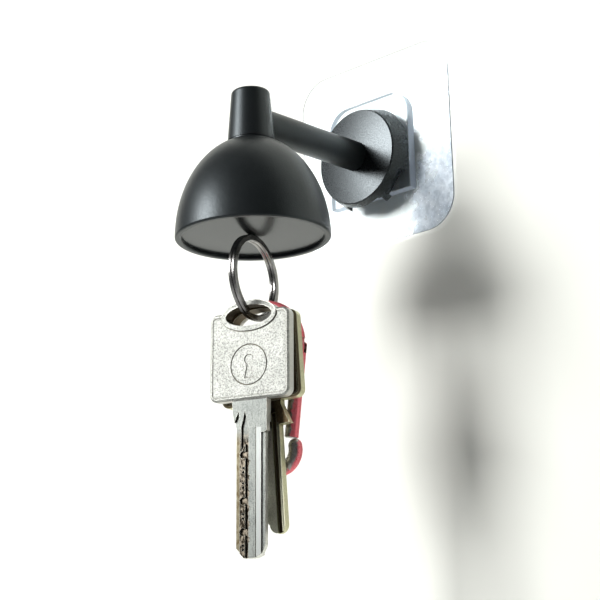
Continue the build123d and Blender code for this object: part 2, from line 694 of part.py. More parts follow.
def make_key_b():
    """The brass key: a grooved blade with a round tip and cuts along its left edge."""
    middle = bow_plane(KEY_B_BACK, BOW_THICK, KEY_B_SHIFT, KEY_B_TILT)
    tip_r = (BLADE_B_RIGHT - TIP_B_LEFT) / 2
    tip_centre = (BLADE_B_RIGHT + TIP_B_LEFT) / 2
    with BuildPart() as key:
        add(bow_part(middle))
        with BuildSketch(middle):
            with BuildLine():
                Polyline(
                    (-5.2, -BOW_HEIGHT / 2 + 1),
                    (-5.2, SHOULDER_B),
                    (BLADE_B_LEFT, SHOULDER_B - 0.6),
                    (BLADE_B_LEFT, TIP_B + tip_r + TIP_B_LEFT - BLADE_B_LEFT),
                    (TIP_B_LEFT, TIP_B + tip_r),
                )
                ThreePointArc(
                    (TIP_B_LEFT, TIP_B + tip_r),
                    (tip_centre, TIP_B),
                    (BLADE_B_RIGHT, TIP_B + tip_r),
                )
                Polyline(
                    (BLADE_B_RIGHT, TIP_B + tip_r),
                    (BLADE_B_RIGHT, SHOULDER_B - 0.5),
                    (8.2, SHOULDER_B - 0.4),
                    (5.9, -BOW_HEIGHT / 2 - 1.2),
                    (5.9, -BOW_HEIGHT / 2 + 1),
                    (-5.2, -BOW_HEIGHT / 2 + 1),
                )
            make_face()
        extrude(amount=BLADE_B_THICK / 2, both=True)
        with BuildSketch(middle):
            for index, depth in enumerate(CUT_DEPTHS):
                centre = CUT_START - CUT_PITCH * index
                with BuildLine():
                    Polyline(
                        (BLADE_B_LEFT - 0.5, centre + CUT_FLAT + depth),
                        (BLADE_B_LEFT + depth, centre + CUT_FLAT),
                        (BLADE_B_LEFT + depth, centre - CUT_FLAT),
                        (BLADE_B_LEFT - 0.5, centre - CUT_FLAT - depth),
                        close=True,
                    )
                make_face()
        extrude(amount=BLADE_B_THICK, both=True, mode=Mode.SUBTRACT)
        with BuildSketch(middle.offset(BLADE_B_THICK / 2)):
            box_between(GROOVE_B_LEFT, GROOVE_B_RIGHT, TIP_B - 1, -BOW_HEIGHT / 2 - 3.5)
        extrude(amount=-GROOVE_B_DEPTH, mode=Mode.SUBTRACT)
        with BuildSketch(middle.offset(BLADE_B_THICK / 2)):
            box_between(FINE_GROOVE_B, FINE_GROOVE_B + LINE_CUT, TIP_B - 1, SHOULDER_B)
        extrude(amount=-LINE_CUT, mode=Mode.SUBTRACT)
        with BuildSketch(middle.offset(-BLADE_B_THICK / 2)):
            box_between(BACK_GROOVE_B_LEFT, GROOVE_B_LEFT - 1, TIP_B - 1, SHOULDER_B)
        extrude(amount=GROOVE_B_DEPTH, mode=Mode.SUBTRACT)
    save(key, "brass_key")


# --- Snap clip -------------------------------------------------------------------------------------
def make_clip():
    """The bent rod of the clip, thinner over the top than round the hook and at its ball nose."""
    hang = hanging_plane(CLIP_CENTRE)
    clip = Plane(origin=hang.from_local_coords((0, CLIP_LIFT, 0)), x_dir=hang.x_dir, z_dir=hang.z_dir)
    drop = (CLIP_LOW_CENTRE[0] - CLIP_TOP_CENTRE[0], CLIP_TOP_CENTRE[1] - CLIP_LOW_CENTRE[1])
    lean = degrees(atan2(drop[0], drop[1]) + asin((CLIP_TOP_R - CLIP_LOW_R) / hypot(*drop)))
    with BuildPart() as body:
        with BuildLine(clip):
            arch = CenterArc(CLIP_TOP_CENTRE, CLIP_TOP_R, ARCH_END_ANGLE, 180 + lean - ARCH_END_ANGLE)
        with BuildSketch(Plane(origin=arch @ 0, z_dir=arch % 0)):
            Circle(ARCH_ROD_R)
        sweep(path=arch)
        with BuildLine(clip):
            hook = CenterArc(CLIP_LOW_CENTRE, CLIP_LOW_R, 180 + lean, 180 - lean + NOSE_ANGLE)
        with BuildSketch(Plane(origin=hook @ 0, z_dir=hook % 0)):
            Circle(HOOK_ROD_R)
        sweep(path=hook)
        with BuildSketch(Plane(origin=arch @ 1, z_dir=arch % 1)):
            Circle(ARCH_ROD_R)
        with BuildSketch(Plane(origin=hook @ 0, z_dir=arch % 1)):
            Circle(HOOK_ROD_R)
        loft()
        with Locations(Plane(origin=hook @ 1, z_dir=hook % 1)):
            Sphere(HOOK_ROD_R)
        with BuildSketch(clip):
            box_between(PIVOT[0] - TONGUE_R, PIVOT[0] + TONGUE_R, PIVOT[1], CLIP_TOP_CENTRE[1] + 1)
            with Locations(PIVOT):
                Circle(TONGUE_R)
        extrude(amount=TONGUE_THICK / 2, both=True)
        with BuildSketch(clip):
            with Locations(PIVOT):
                Circle(PIN_R + PIN_GAP)
        extrude(amount=TONGUE_THICK, both=True, mode=Mode.SUBTRACT)
    save(body, "clip_body")
    gate_plane = Plane(origin=clip.from_local_coords((*PIVOT, 0)), x_dir=clip.x_dir, z_dir=clip.z_dir)
    make_gate(turned(gate_plane, -GATE_LEAN))


def gate_level(middle, height):
    """A plane across the gate's rod at a height above its pivot."""
    return Plane(origin=middle.from_local_coords((0, height, 0)), x_dir=middle.x_dir, z_dir=middle.y_dir)


def make_gate(middle):
    """The gate with its forked top, its hinge pin, and the plunger and spring inside it."""
    with BuildPart() as gate:
        with BuildSketch(gate_level(middle, -GATE_LENGTH)):
            Circle(GATE_R)
        extrude(amount=GATE_LENGTH + GATE_R)
        fillet(gate.faces().sort_by(Axis(middle.origin, middle.y_dir))[0].edges(), GATE_END_ROUND)
        with BuildSketch(middle):
            box_between(-GATE_R, GATE_R, -GATE_LENGTH, 0)
            Circle(GATE_R)
        extrude(amount=GATE_R, both=True, mode=Mode.INTERSECT)
        with BuildSketch(middle):
            box_between(-GATE_R, GATE_R, -SLOT_DEPTH, GATE_R)
        extrude(amount=SLOT_THICK / 2, both=True, mode=Mode.SUBTRACT)
        with BuildSketch(middle):
            Circle(PIN_R)
        extrude(amount=GATE_R, both=True, mode=Mode.SUBTRACT)
        with BuildSketch(gate_level(middle, -GATE_BORE_END)):
            Circle(GATE_BORE_R)
        extrude(amount=GATE_BORE_END - SLOT_DEPTH, mode=Mode.SUBTRACT)
    save(gate, "clip_gate")
    with BuildPart() as pin:
        with BuildSketch(middle):
            Circle(PIN_R)
        extrude(amount=GATE_R - 0.1, both=True)
    save(pin, "gate_pin")
    with BuildPart() as plunger:
        with BuildSketch(gate_level(middle, PLUNGER_END)):
            Circle(PLUNGER_R)
        extrude(amount=PLUNGER_TOP - PLUNGER_END)
        fillet(plunger.faces().sort_by(Axis(middle.origin, middle.y_dir))[-1].edges(), PLUNGER_R / 2)
    save(plunger, "gate_plunger")
    low = -GATE_BORE_END + 2 * SPRING_WIRE_R
    with BuildPart() as spring:
        with BuildLine():
            start = middle.from_local_coords((0, low, 0))
            height = PLUNGER_END - 2 * SPRING_WIRE_R - low
            coil = Helix(SPRING_PITCH, height, SPRING_R, center=start, direction=middle.y_dir)
        with BuildSketch(Plane(origin=coil @ 0, z_dir=coil % 0)):
            Circle(SPRING_WIRE_R)
        sweep(path=coil)
    save(spring, "gate_spring")


make_pad()
make_dock()
make_base_shell()
make_rail_plate()
make_screws()
make_arm()
make_neck()
make_shade()
make_mouth()
make_ring()
make_key_a()
make_key_b()
make_clip()
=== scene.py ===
"""Looks of the magnetic key holder: materials, fine detail, studio light and camera around the CAD frame.

Everything is in metres in the row frame: +X along the wall, +Y into the wall, +Z up, origin on the wall.
"""

import json
import math

import bmesh
import bpy
from mathutils import Matrix, Vector


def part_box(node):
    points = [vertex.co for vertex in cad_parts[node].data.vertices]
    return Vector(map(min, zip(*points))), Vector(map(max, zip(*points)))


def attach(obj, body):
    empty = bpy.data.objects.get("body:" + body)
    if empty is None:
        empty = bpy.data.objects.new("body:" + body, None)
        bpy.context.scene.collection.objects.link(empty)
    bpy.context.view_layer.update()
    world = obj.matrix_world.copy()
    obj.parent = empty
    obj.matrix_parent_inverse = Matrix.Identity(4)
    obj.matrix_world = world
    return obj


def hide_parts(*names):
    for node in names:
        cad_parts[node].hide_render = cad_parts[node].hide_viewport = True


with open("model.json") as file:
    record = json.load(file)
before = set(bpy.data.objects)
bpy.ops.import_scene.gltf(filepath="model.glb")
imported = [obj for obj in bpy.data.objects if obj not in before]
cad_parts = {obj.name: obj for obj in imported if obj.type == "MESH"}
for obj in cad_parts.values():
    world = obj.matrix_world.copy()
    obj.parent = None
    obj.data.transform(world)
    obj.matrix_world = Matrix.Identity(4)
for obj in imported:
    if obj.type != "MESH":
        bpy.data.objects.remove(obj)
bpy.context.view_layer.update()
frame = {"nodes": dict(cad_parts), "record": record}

MM = 0.001

# --- Camera ----------------------------------------------------------------------------------------
CAMERA_PLACE = (320.84, -374.40, -179.79)   # mm
CAMERA_AZIMUTH = 43.48                      # degrees
CAMERA_ELEVATION = -15.13
CAMERA_ROLL = -1.47
CAMERA_LENS = 101.35                        # mm on a 36 mm sensor


def make_camera():
    """A long lens below and to the right of the object, looking up at it."""
    azimuth, elevation = math.radians(CAMERA_AZIMUTH), math.radians(CAMERA_ELEVATION)
    back = Vector((
        math.sin(azimuth) * math.cos(elevation),
        -math.cos(azimuth) * math.cos(elevation),
        math.sin(elevation),
    ))
    right = Vector((0, 0, 1)).cross(back).normalized()
    turn = Matrix.Rotation(math.radians(CAMERA_ROLL), 3, back)
    right = turn @ right
    up = back.cross(right)
    data = bpy.data.cameras.new("camera")
    data.lens = CAMERA_LENS
    data.sensor_width = 36.0
    data.clip_start = 0.01
    data.clip_end = 20.0
    camera = bpy.data.objects.new("camera", data)
    bpy.context.scene.collection.objects.link(camera)
    axes = Matrix((right, up, back)).transposed()
    camera.matrix_world = Matrix.Translation(Vector(CAMERA_PLACE) * MM) @ axes.to_4x4()
    bpy.context.scene.camera = camera


# --- Key and clip frames ---------------------------------------------------------------------------
RING_AZIMUTH = 15.0
FACE_DIR = (math.sin(math.radians(RING_AZIMUTH)), -math.cos(math.radians(RING_AZIMUTH)), 0)
BOW_DROP = -11.9            # a bow's middle below its hinge
EYE_REACH = (7.25, 2.95)    # half width and half height of an eye
EYE_RISE = 11.05            # an eye's middle above its bow's middle
JOINTS = {joint["name"]: joint for joint in frame["record"]["behaviour"]["joints"]}


def hanging_frame(joint, shift, drop, tilt):
    """Origin in mm and turn of a hanging piece's own frame: x across it, y into the wall, z up it."""
    level = Matrix.Rotation(math.radians(RING_AZIMUTH), 3, "Z")
    turn = level @ Matrix.Rotation(math.radians(-tilt), 3, "Y")
    pivot = Vector(JOINTS[joint]["pos_m"]) / MM
    return pivot + level @ Vector((shift, 0, 0)) + turn @ Vector((0, 0, drop)), turn.to_euler()


PLATED_KEY = hanging_frame("plated_key_swing", 0.95, BOW_DROP, -1.3)
BRASS_KEY = hanging_frame("brass_key_swing", 0.8, BOW_DROP, 2.5)
CLIP = hanging_frame("clip_swing", 0.0, 0.25, 0.0)

# Zones painted on the keys and the clip, in mm in each one's own frame: spans across it, heights up it.
BOW_FOOT = -12.35           # lower edge of the plated bow
BOW_BORDER = 11.45          # half width of its sunk field and border
RIB = (2.2, 3.65)           # bright rib down the plated blade
RIB_TOP = (-20.3, -20.0)
TRACK = (-2.9, -0.3)        # dimpled track, dark with grime
STRIP = (-5.0, -3.0)        # strip beside it, worn to brass
MILLED_TOP = (-24.0, -20.0)
PAINTED_LIGHT_RIGHT = (2.4, 2.8)   # painted light: the flat left of the brass blade's groove, made pale where the plated key's shadow falls
PAINTED_LIGHT_TOP = (-20.5, -19.5)
# Span of the brass blade's groove, painted dark as shade.
BRASS_GROOVE = (2.75, 4.0)
GROOVE_TOP = (-15.0, -14.0)
# Foot of the painted shade on the brass bow.
BOW_SHADE_FOOT = (-20.0, -19.0)
CLIP_TOP_CENTRE = (-0.15, -8.6)
CLIP_LOW_CENTRE = (4.1, -38.4)
# Gate side that turns grey steel as painted shade.
GATE_LEFT = (6.0, 7.0)
HOOK_TOP = (-36.5, -35.0)


# --- Node helpers ----------------------------------------------------------------------------------
def new_material(name):
    """An empty node material with its shader, as (material, node tree, shader)."""
    material = bpy.data.materials.new(name)
    material.use_nodes = True
    tree = material.node_tree
    return material, tree, tree.nodes["Principled BSDF"]


def feed(tree, socket, value):
    """Links an output to a socket, or sets the socket to a number or a colour."""
    if isinstance(value, bpy.types.NodeSocket):
        tree.links.new(value, socket)
    elif isinstance(value, (int, float)) or len(value) == len(socket.default_value):
        socket.default_value = value
    else:
        socket.default_value = (*value, 1)


def place(tree, origin=(0, 0, 0), turn=(0, 0, 0), stretch=(1, 1, 1)):
    """The piece's own coordinates in mm from an origin, turned, and stretched along each axis."""
    coordinates = tree.nodes.new("ShaderNodeTexCoord")
    mapping = tree.nodes.new("ShaderNodeMapping")
    mapping.vector_type = "TEXTURE"
    mapping.inputs["Location"].default_value = Vector(origin) * MM
    mapping.inputs["Rotation"].default_value = turn
    mapping.inputs["Scale"].default_value = Vector(stretch) * MM
    tree.links.new(coordinates.outputs["Object"], mapping.inputs["Vector"])
    return mapping.outputs["Vector"]


def noise(tree, where, size, detail=3.0, roughness=0.5):
    """Noise whose blotches are about size mm across."""
    node = tree.nodes.new("ShaderNodeTexNoise")
    node.inputs["Scale"].default_value = 1.0 / size
    node.inputs["Detail"].default_value = detail
    node.inputs["Roughness"].default_value = roughness
    tree.links.new(where, node.inputs["Vector"])
    return node.outputs["Fac"]


def cells(tree, where, size, feature="F1"):
    """Distance to the nearest point of a cell pattern whose cells are about size mm across."""
    node = tree.nodes.new("ShaderNodeTexVoronoi")
    node.feature = feature
    node.inputs["Scale"].default_value = 1.0 / size
    tree.links.new(where, node.inputs["Vector"])
    return node.outputs["Distance"]


def ramp(tree, value, *stops):
    """A colour ramp over (position, colour or grey level) stops."""
    node = tree.nodes.new("ShaderNodeValToRGB")
    elements = node.color_ramp.elements
    while len(elements) < len(stops):
        elements.new(0.5)
    for element, (position, colour) in zip(elements, stops):
        element.position = position
        grey = isinstance(colour, (int, float))
        element.color = (colour, colour, colour, 1) if grey else (*colour, 1)
    tree.links.new(value, node.inputs["Fac"])
    return node.outputs["Color"]


def spread(tree, value, low, high, start=0.0, end=1.0, soft=False):
    """Maps a value from start..end to low..high, kept within them."""
    node = tree.nodes.new("ShaderNodeMapRange")
    node.interpolation_type = "SMOOTHSTEP" if soft else "LINEAR"
    for name, number in (("From Min", start), ("From Max", end), ("To Min", low), ("To Max", high)):
        node.inputs[name].default_value = number
    tree.links.new(value, node.inputs["Value"])
    return node.outputs["Result"]


def mix(tree, share, first, second, blend="MIX"):
    """Mixes two colours by a share."""
    node = tree.nodes.new("ShaderNodeMix")
    node.data_type = "RGBA"
    node.blend_type = blend
    for name, value in (("Factor", share), ("A", first), ("B", second)):
        feed(tree, next(i for i in node.inputs if i.name == name and i.enabled), value)
    return next(o for o in node.outputs if o.enabled)


def maths(tree, operation, first, second=0.0):
    """One sum on two values."""
    node = tree.nodes.new("ShaderNodeMath")
    node.operation = operation
    for socket, value in zip(node.inputs, (first, second)):
        feed(tree, socket, value)
    return node.outputs["Value"]


def vector_maths(tree, operation, first, second=(0, 0, 0)):
    """One vector sum, as its value for a dot product or length, else as its vector."""
    node = tree.nodes.new("ShaderNodeVectorMath")
    node.operation = operation
    for socket, value in zip(node.inputs, (first, second)):
        feed(tree, socket, value)
    return node.outputs["Value" if operation in ("DOT_PRODUCT", "LENGTH") else "Vector"]


def parts_of(tree, vector):
    """The x, y and z of a vector."""
    node = tree.nodes.new("ShaderNodeSeparateXYZ")
    tree.links.new(vector, node.inputs["Vector"])
    return node.outputs["X"], node.outputs["Y"], node.outputs["Z"]


def band(tree, value, low, high, soft=0.2):
    """1 where the value is between low and high, and 0 outside, with soft borders."""
    rise = spread(tree, value, 0, 1, low - soft / 2, low + soft / 2, soft=True)
    fall = spread(tree, value, 1, 0, high - soft / 2, high + soft / 2, soft=True)
    return maths(tree, "MULTIPLY", rise, fall)


def facing(tree, direction):
    """How far the surface faces a direction of the piece's own frame, from -1 to 1."""
    coordinates = tree.nodes.new("ShaderNodeTexCoord")
    return vector_maths(tree, "DOT_PRODUCT", coordinates.outputs["Normal"], direction)


def hollows(tree, distance):
    """1 deep in cuts and corners, 0 on open faces; distance in mm."""
    node = tree.nodes.new("ShaderNodeAmbientOcclusion")
    node.samples = 8
    node.only_local = True
    node.inputs["Distance"].default_value = distance * MM
    return maths(tree, "SUBTRACT", 1.0, node.outputs["AO"])


def edges(tree, radius):
    """1 along sharp edges, 0 on open faces; radius in mm."""
    bevel = tree.nodes.new("ShaderNodeBevel")
    bevel.samples = 6
    bevel.inputs["Radius"].default_value = radius * MM
    geometry = tree.nodes.new("ShaderNodeNewGeometry")
    flat = vector_maths(tree, "DOT_PRODUCT", bevel.outputs["Normal"], geometry.outputs["Normal"])
    return spread(tree, flat, 1.0, 0.0, 0.80, 0.99)


def bump(tree, shader, *layers):
    """Stacks (height, depth in mm, strength) layers into the shader's normal."""
    normal = None
    for height, depth, strength in layers:
        node = tree.nodes.new("ShaderNodeBump")
        node.inputs["Distance"].default_value = depth * MM
        node.inputs["Strength"].default_value = strength
        tree.links.new(height, node.inputs["Height"])
        if normal is not None:
            tree.links.new(normal, node.inputs["Normal"])
        normal = node.outputs["Normal"]
    tree.links.new(normal, shader.inputs["Normal"])


# --- Materials -------------------------------------------------------------------------------------
def black_plastic(name, rough, grain):
    """Charcoal moulded plastic: a fine spark-eroded grain, faint mottling and a soft sheen."""
    material, tree, shader = new_material(name)
    where = place(tree)
    mottle = noise(tree, where, 7, 4)
    fine = noise(tree, where, 0.35, 4, 0.6)
    speck = cells(tree, where, 0.45)
    colour = ramp(tree, mottle, (0.35, (0.0044, 0.0056, 0.0060)), (0.65, (0.0074, 0.0091, 0.0096)))
    feed(tree, shader.inputs["Base Color"], colour)
    shader.inputs["Specular Tint"].default_value = (0.84, 0.95, 1.0, 1)
    feed(tree, shader.inputs["Roughness"], spread(tree, fine, rough * 0.85, rough * 1.2, 0.3, 0.7))
    bump(tree, shader, (fine, 0.03, grain), (speck, 0.03, grain))
    return material


def plate_plastic():
    """The smooth dark plate in the shade's mouth, faintly rippled and finely rubbed."""
    material, tree, shader = new_material("plate_plastic")
    where = place(tree)
    ripple = noise(tree, where, 6, 2)
    rubs = noise(tree, where, 0.5, 5, 0.7)
    feed(tree, shader.inputs["Base Color"],
         ramp(tree, ripple, (0.3, (0.012, 0.014, 0.0145)), (0.7, (0.018, 0.020, 0.021))))
    shader.inputs["Specular IOR Level"].default_value = 0.28
    shader.inputs["Specular Tint"].default_value = (0.74, 0.88, 0.95, 1)
    feed(tree, shader.inputs["Roughness"], spread(tree, rubs, 0.18, 0.28, 0.35, 0.75))
    bump(tree, shader, (ripple, 0.05, 0.2), (rubs, 0.01, 0.1))
    return material


def clear_plastic(name, tint, painted_edge_tint, roughness, gloss, ior, ripple):
    """A clear moulding or film with faint ripples; its cut edge lets less through and takes a flat edge
    tint, a painted shade on the film and a painted bluish-grey sheen on the dock.
    """
    material, tree, shader = new_material(name)
    wave = noise(tree, place(tree), 4, 2)
    rim = spread(tree, maths(tree, "ABSOLUTE", facing(tree, (0, 1, 0))), 1, 0, 0.2, 0.8)
    body = mix(tree, wave, tint, (1, 1, 1))
    # Painted light at the cut edge: the edge tint stands in for shade on the film and for a bluish-grey
    # sheen on the dock.
    feed(tree, shader.inputs["Base Color"], mix(tree, rim, body, painted_edge_tint))
    feed(tree, shader.inputs["Transmission Weight"], spread(tree, rim, 1.0, 0.2))
    shader.inputs["Roughness"].default_value = roughness
    shader.inputs["Specular IOR Level"].default_value = gloss
    shader.inputs["IOR"].default_value = ior
    bump(tree, shader, (wave, 0.05, ripple))
    return material


def plated_metal(name, dark, light, rough, scratch):
    """Nickel or zinc plate with streaky polish and faint tarnish."""
    material, tree, shader = new_material(name)
    where = place(tree)
    cloud = noise(tree, where, 3, 5, 0.6)
    streaks = noise(tree, where, 0.25, 6, 0.75)
    colour = ramp(tree, mix(tree, 0.4, cloud, streaks), (0.35, dark), (0.65, light))
    feed(tree, shader.inputs["Base Color"], colour)
    shader.inputs["Metallic"].default_value = 1.0
    feed(tree, shader.inputs["Roughness"], spread(tree, streaks, rough * 0.7, rough * 1.5, 0.3, 0.7))
    bump(tree, shader, (streaks, 0.01, scratch))
    return material


def eye_mask(tree, across, up):
    """1 on and inside the wall of a key's eye, and 0 outside it."""
    wide = maths(tree, "DIVIDE", across, EYE_REACH[0])
    high = maths(tree, "DIVIDE", maths(tree, "SUBTRACT", up, EYE_RISE), EYE_REACH[1])
    reach = maths(tree, "ADD", maths(tree, "MULTIPLY", wide, wide), maths(tree, "MULTIPLY", high, high))
    return spread(tree, reach, 1, 0, 1.1, 1.2)


def key_plate():
    """Sandblasted plate on the bow, brushed down the blade, brass where the plate has gone through; cuts and
    creases darkened as painted shade, partly grime; edges lightened as wear and a painted highlight; eye
    walls darkened as painted shade and outer sides lightened as painted reflection.
    """
    material, tree, shader = new_material("key_plate")
    where = place(tree, *PLATED_KEY)
    across, _, up = parts_of(tree, where)
    face = maths(tree, "ABSOLUTE", facing(tree, FACE_DIR))
    side = spread(tree, face, 1, 0, 0.35, 0.75)
    bow = spread(tree, up, 0, 1, BOW_FOOT - 0.15, BOW_FOOT + 0.15)
    grit = noise(tree, where, 0.42, 5, 0.75)
    pits = cells(tree, where, 0.55)
    brushed = noise(tree, place(tree, *PLATED_KEY, (0.25, 1, 6)), 1.0, 4, 0.6)
    cloud = noise(tree, where, 6, 4)
    grime = noise(tree, place(tree, *PLATED_KEY, (0.7, 1, 1.2)), 1.0, 6, 0.75)

    rim = maths(tree, "MAXIMUM", maths(tree, "ABSOLUTE", across), maths(tree, "ABSOLUTE", up))
    outside = mix(tree, bow, (1, 1, 1), spread(tree, rim, 0, 1, BOW_BORDER - 0.15, BOW_BORDER + 0.15))
    # Edges lightened: partly wear, partly a painted highlight along the bevels.
    wear_and_highlight = maths(tree, "MULTIPLY", edges(tree, 0.25), outside)
    # Painted shade, partly grime: cuts and creases darkened by an occlusion mask.
    deep = spread(tree, hollows(tree, 0.6), 0, 1, 0.08, 0.34)
    shallow = spread(tree, across, 1, 0.25, RIB[0] - 0.2, RIB[0] + 0.2)
    deep = maths(tree, "MULTIPLY", deep, mix(tree, bow, shallow, (1, 1, 1)))

    blade = ramp(tree, cloud, (0.3, (0.155, 0.165, 0.155)), (0.7, (0.205, 0.215, 0.20)))
    sandblasted = ramp(tree, cloud, (0.3, (0.52, 0.53, 0.49)), (0.7, (0.64, 0.65, 0.61)))
    plate = mix(tree, bow, blade, sandblasted)
    speckled = mix(tree, bow, mix(tree, 0.6, brushed, grit), grit)
    plate = mix(tree, 0.85, plate, ramp(tree, speckled, (0.38, 0.25), (0.54, 1.0)), "MULTIPLY")

    milled_bottom, milled_top = MILLED_TOP
    low = spread(tree, up, 0, 1, milled_top, milled_bottom)
    rib_bottom, rib_top = RIB_TOP
    rib = maths(tree, "MULTIPLY", band(tree, across, *RIB, 0.1), spread(tree, up, 0, 1, rib_top, rib_bottom))
    plate = mix(tree, rib, plate, (0.25, 0.26, 0.25))
    track = maths(tree, "MULTIPLY", band(tree, across, *TRACK, 0.2), low)
    dirty = ramp(tree, grime, (0.48, (0.015, 0.012, 0.008)), (0.56, (0.18, 0.155, 0.12)))
    plate = mix(tree, track, plate, dirty)
    strip = maths(tree, "MULTIPLY", band(tree, across, *STRIP, 0.2), low)
    bared = ramp(tree, grime, (0.40, (0.07, 0.05, 0.025)), (0.55, (0.145, 0.13, 0.09)))
    plate = mix(tree, strip, plate, bared)

    # Painted reflection: outer side faces made pale; painted shade: the eye's inner walls made dark.
    pale = ramp(tree, grit, (0.3, (0.60, 0.60, 0.56)), (0.7, (0.85, 0.85, 0.80)))
    flank_reflection_and_shade = mix(tree, eye_mask(tree, across, up), pale, (0.10, 0.08, 0.05))
    plate = mix(tree, side, plate, flank_reflection_and_shade)
    rubbed_and_painted_light = mix(tree, bow, (0.34, 0.34, 0.30), (0.80, 0.79, 0.70))
    plate = mix(tree, maths(tree, "MULTIPLY", wear_and_highlight, 0.7), plate, rubbed_and_painted_light)
    # Painted shade, partly grime, laid into the cuts.
    plate = mix(tree, deep, plate, mix(tree, bow, (0.035, 0.028, 0.018), (0.13, 0.12, 0.085)))
    feed(tree, shader.inputs["Base Color"], plate)
    shader.inputs["Metallic"].default_value = 1.0
    brushed_satin = spread(tree, brushed, 0.34, 0.5, 0.3, 0.7)
    blasted_satin = spread(tree, grit, 0.42, 0.65, 0.3, 0.7)
    satin = mix(tree, bow, brushed_satin, blasted_satin)
    feed(tree, shader.inputs["Roughness"], mix(tree, wear_and_highlight, satin, (0.28, 0.28, 0.28)))
    open_field = maths(tree, "MULTIPLY", bow, maths(tree, "SUBTRACT", 1.0, wear_and_highlight))
    relief = maths(tree, "MULTIPLY", grit, open_field)
    stipple = maths(tree, "MULTIPLY", pits, open_field)
    bump(tree, shader, (brushed, 0.02, 0.4), (relief, 0.25, 0.8), (stipple, 0.12, 0.5))
    return material


def key_brass():
    """Handled brass: olive blade, lighter edges from wear and a painted highlight, cuts darkened as painted
    shade partly grime, the bow given a dark umber as painted shade, its long channel darkened as painted
    shade, a light patch painted where the plated key's shadow falls, outer sides lightened as painted
    reflection and eye walls darkened as painted shade.
    """
    material, tree, shader = new_material("key_brass")
    where = place(tree, *BRASS_KEY)
    across, _, up = parts_of(tree, where)
    cloud = noise(tree, where, 4, 5, 0.6)
    grit = noise(tree, where, 0.4, 5, 0.7)
    brushed = noise(tree, place(tree, *BRASS_KEY, (0.25, 1, 6)), 1.0, 4, 0.6)
    # Edges lightened: partly wear, partly a painted highlight.
    wear_and_highlight = edges(tree, 0.3)
    # Painted shade, partly grime: cuts and creases darkened by an occlusion mask.
    deep = spread(tree, hollows(tree, 0.8), 0, 1, 0.2, 0.7)
    face = maths(tree, "ABSOLUTE", facing(tree, FACE_DIR))
    side = spread(tree, face, 1, 0, 0.35, 0.75)

    brass = ramp(tree, cloud, (0.3, (0.50, 0.48, 0.34)), (0.7, (0.70, 0.69, 0.54)))
    streaked = ramp(tree, mix(tree, 0.5, grit, brushed), (0.36, 0.4), (0.58, 1.0))
    brass = mix(tree, 0.7, brass, streaked, "MULTIPLY")
    # Painted light: the flat left of the groove made pale where the plated key's shadow falls on it.
    painted_light_patch = spread(tree, across, 1, 0, *PAINTED_LIGHT_RIGHT)
    painted_light_patch = maths(tree, "MULTIPLY", painted_light_patch, spread(tree, up, 1, 0, *PAINTED_LIGHT_TOP))
    pale = ramp(tree, grit, (0.3, (0.72, 0.70, 0.58)), (0.6, (1.0, 0.98, 0.84)))
    brass = mix(tree, painted_light_patch, brass, pale)
    # Painted shade: the bow above its foot made a dark umber, for the plated key's shadow on it.
    bow_shade_brown = ramp(tree, grit, (0.3, (0.06, 0.04, 0.022)), (0.7, (0.17, 0.125, 0.07)))
    brass = mix(tree, spread(tree, up, 0, 1, *BOW_SHADE_FOOT), brass, bow_shade_brown)
    # Painted shade: the groove darkened.
    groove = band(tree, across, *BRASS_GROOVE, 0.2)
    groove = maths(tree, "MULTIPLY", groove, spread(tree, up, 1, 0, *GROOVE_TOP))
    brass = mix(tree, groove, brass, (0.07, 0.05, 0.03))
    # Painted reflection: outer sides made pale olive; painted shade: the eye's inner walls made dark.
    bright_side_reflection = ramp(tree, grit, (0.3, (0.52, 0.50, 0.31)), (0.7, (0.80, 0.79, 0.57)))
    flank_reflection_and_shade = mix(tree, eye_mask(tree, across, up), bright_side_reflection, (0.10, 0.075, 0.045))
    brass = mix(tree, side, brass, flank_reflection_and_shade)
    brass = mix(tree, maths(tree, "MULTIPLY", wear_and_highlight, 0.8), brass, (0.80, 0.80, 0.60))
    brass = mix(tree, deep, brass, (0.035, 0.022, 0.010))
    feed(tree, shader.inputs["Base Color"], brass)
    shader.inputs["Metallic"].default_value = 1.0
    feed(tree, shader.inputs["Roughness"], spread(tree, grit, 0.42, 0.62, 0.3, 0.7))
    bump(tree, shader, (brushed, 0.02, 0.4), (grit, 0.08, 0.5))
    return material


